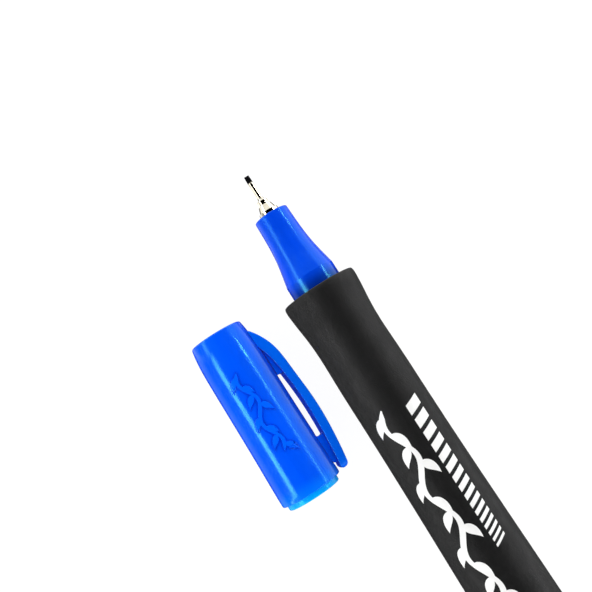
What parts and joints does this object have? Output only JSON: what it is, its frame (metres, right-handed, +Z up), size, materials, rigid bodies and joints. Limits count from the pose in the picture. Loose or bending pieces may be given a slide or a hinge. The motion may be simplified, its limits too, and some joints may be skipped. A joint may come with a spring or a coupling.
{
  "type": "calligraphy marker",
  "caption": "Slim marker lying on its side with a fine steel-clad chisel nib, tapered nose and waisted body; its cap with pocket clip lies beside it, mouth to the rear.",
  "frame": {"origin": "centre of the barrel's front rim plane, on the pen's axis, inside the nose's seat ring", "axes": "+X along the pen's axis towards the nib, +Y towards the cap that lies beside the pen, +Z up from the surface that both lie on"},
  "size_m": [0.1352, 0.0304, 0.0132],
  "materials": {
    "body_black": "soft matte black with a fine grain",
    "ink_blue": "glossy moulded blue",
    "nose_blue": "glossy moulded blue",
    "cap_blue": "glossy moulded bright blue",
    "liner_blue": "translucent lighter blue",
    "tip_steel": "polished, nickel bright",
    "holder_ivory": "natural acetal",
    "nib_black": "ink-soaked black fibre",
    "fibre": "bonded ink-soaked fibre",
    "film": "clear film",
    "print_white": "white screen-printed ink"
  },
  "bodies": {
    "pen": {"barrel": "body_black", "tail_plug": "ink_blue", "nose_section": "nose_blue", "nib_holder": "holder_ivory", "tip_sleeve": "tip_steel", "nib": "nib_black", "reservoir_core": "fibre", "reservoir_wrap": "film", "breather_tube": "film"},
    "cap": {"cap_shell": "cap_blue", "inner_cap": "liner_blue"},
    "clip": {"cap_clip": "cap_blue"}
  },
  "joints": [
    {"name": "cap_pull", "type": "slide", "parent": "pen", "child": "cap", "axis": [1, 0, 0], "range_m": [0, 0.0505]},
    {"name": "clip_flex", "type": "hinge", "parent": "cap", "child": "clip", "pos_m": [0.00025, 0.01372, -0.00203], "axis": [0, -0.1736, 0.9848], "range_deg": [0, 4], "stiffness_Nm_per_rad": 0.5}
  ]
}
